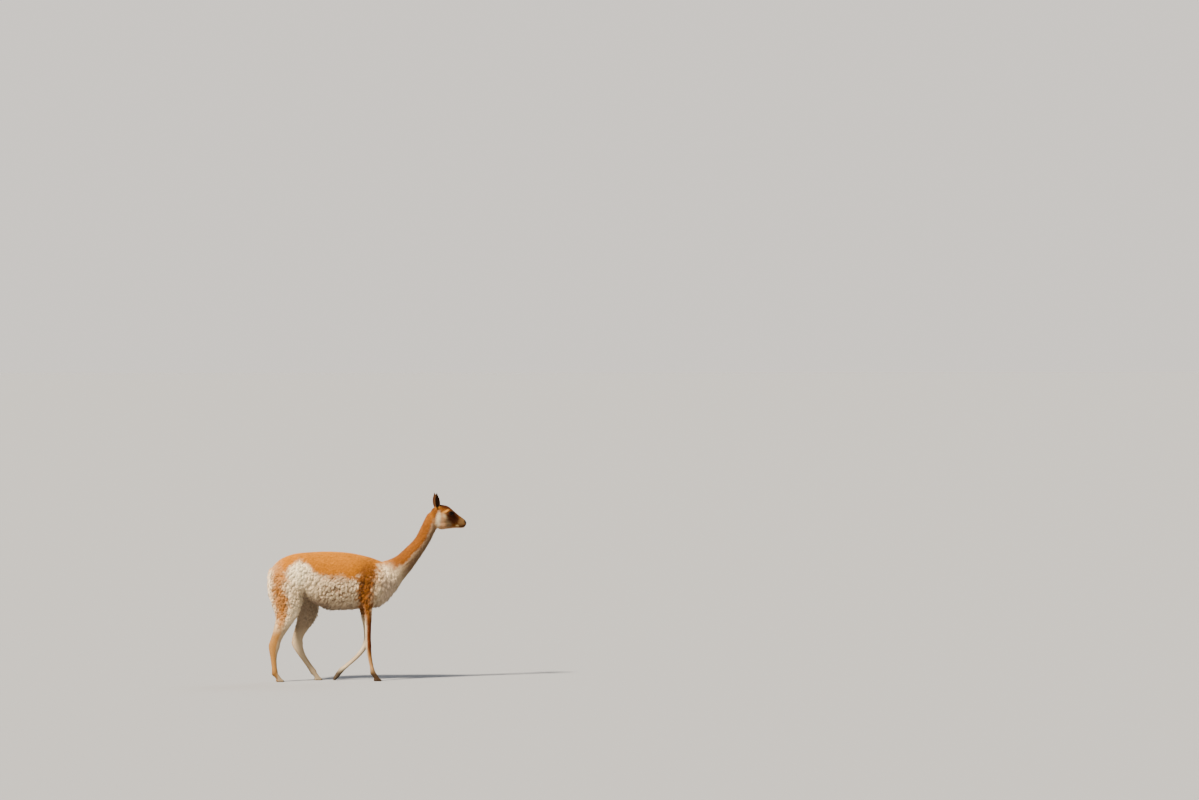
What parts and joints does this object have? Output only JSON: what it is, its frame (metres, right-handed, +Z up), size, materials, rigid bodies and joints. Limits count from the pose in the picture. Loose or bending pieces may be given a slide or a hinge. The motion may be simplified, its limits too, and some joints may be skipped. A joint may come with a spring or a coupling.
{
  "type": "life-size vicuna model",
  "caption": "Still life-size vicuna in mid stride, long neck raised, ears upright, woolly fleece on flank and thigh, standing on small flats under its feet",
  "frame": {"origin": "on the ground, under the middle of the animal's bounding box", "axes": "+X from rump to nose, +Y to the animal's left, +Z up"},
  "size_m": [1.4538, 0.329, 1.3551],
  "materials": {
    "body_coat": "woolly fleece, tan on the back and cream on the flank and belly",
    "neck_coat": "short woolly coat, rust above and pale below",
    "head_coat": "short smooth hair, brown face and cream cheek",
    "tail_coat": "woolly hair, tan",
    "ear_coat": "short hair, brown, dark inside",
    "leg_coat": "woolly coat, tan and cream",
    "lower_leg_coat": "short hair, pale fawn",
    "eye": "wet dark brown",
    "nail": "dark horn, satin"
  },
  "bodies": {
    "root": {"torso": "body_coat", "neck": "neck_coat", "head": "head_coat", "tail": "tail_coat", "ear_left": "ear_coat", "ear_right": "ear_coat", "eye_left": "eye", "eye_right": "eye", "hind_right_thigh": "leg_coat", "hind_right_shank": "leg_coat", "hind_right_cannon": "lower_leg_coat", "hind_right_foot": "lower_leg_coat", "hind_right_nail_left": "nail", "hind_right_nail_right": "nail", "hind_left_thigh": "leg_coat", "hind_left_shank": "leg_coat", "hind_left_cannon": "lower_leg_coat", "hind_left_foot": "lower_leg_coat", "hind_left_nail_left": "nail", "hind_left_nail_right": "nail", "fore_right_shoulder": "leg_coat", "fore_right_forearm": "leg_coat", "fore_right_cannon": "lower_leg_coat", "fore_right_foot": "lower_leg_coat", "fore_right_nail_left": "nail", "fore_right_nail_right": "nail", "fore_left_shoulder": "leg_coat", "fore_left_forearm": "leg_coat", "fore_left_cannon": "lower_leg_coat", "fore_left_foot": "lower_leg_coat", "fore_left_nail_left": "nail", "fore_left_nail_right": "nail"}
  },
  "joints": []
}
